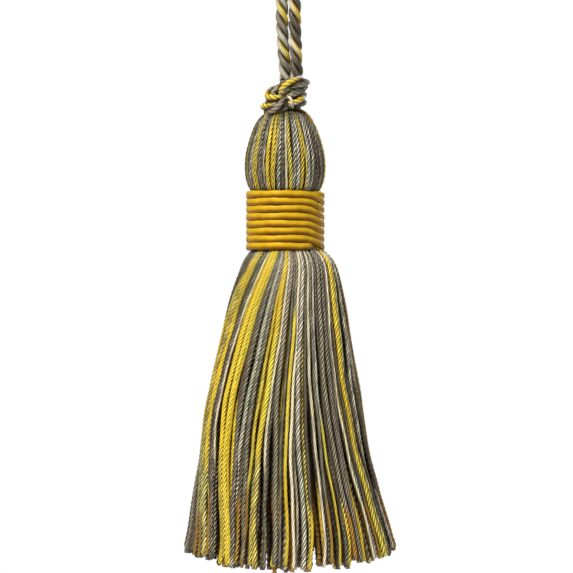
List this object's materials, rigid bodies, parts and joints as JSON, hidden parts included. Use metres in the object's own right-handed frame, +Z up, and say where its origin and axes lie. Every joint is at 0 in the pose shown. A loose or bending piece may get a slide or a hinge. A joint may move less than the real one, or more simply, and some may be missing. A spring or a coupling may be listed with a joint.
{
  "type": "key tassel on a twisted cord loop",
  "caption": "Yarn key tassel with a round head, a wound gimp collar and a flared skirt, hung from a knotted loop of twisted cord.",
  "frame": {"origin": "inside top of the hanging loop, where the cord rests on whatever holds it", "axes": "+Z up along the hanging tassel, -Y towards the front as pictured, +X to the right of the front"},
  "size_m": [0.0552, 0.055, 0.1835],
  "materials": {
    "rayon_yarn": "twisted rayon yarns in golden yellow, taupe grey, silver and cream, with a soft silky sheen",
    "gimp_cord": "smooth satin golden yellow gimp cord with a bright highlight along each turn",
    "twisted_cord": "three-ply twisted cord in dark grey, grey, yellow and cream yarns with a soft sheen"
  },
  "bodies": {
    "root": {"yarn_skein": "rayon_yarn", "collar_winding": "gimp_cord", "cord_knot": "twisted_cord", "hanging_cord": "twisted_cord"}
  },
  "joints": []
}
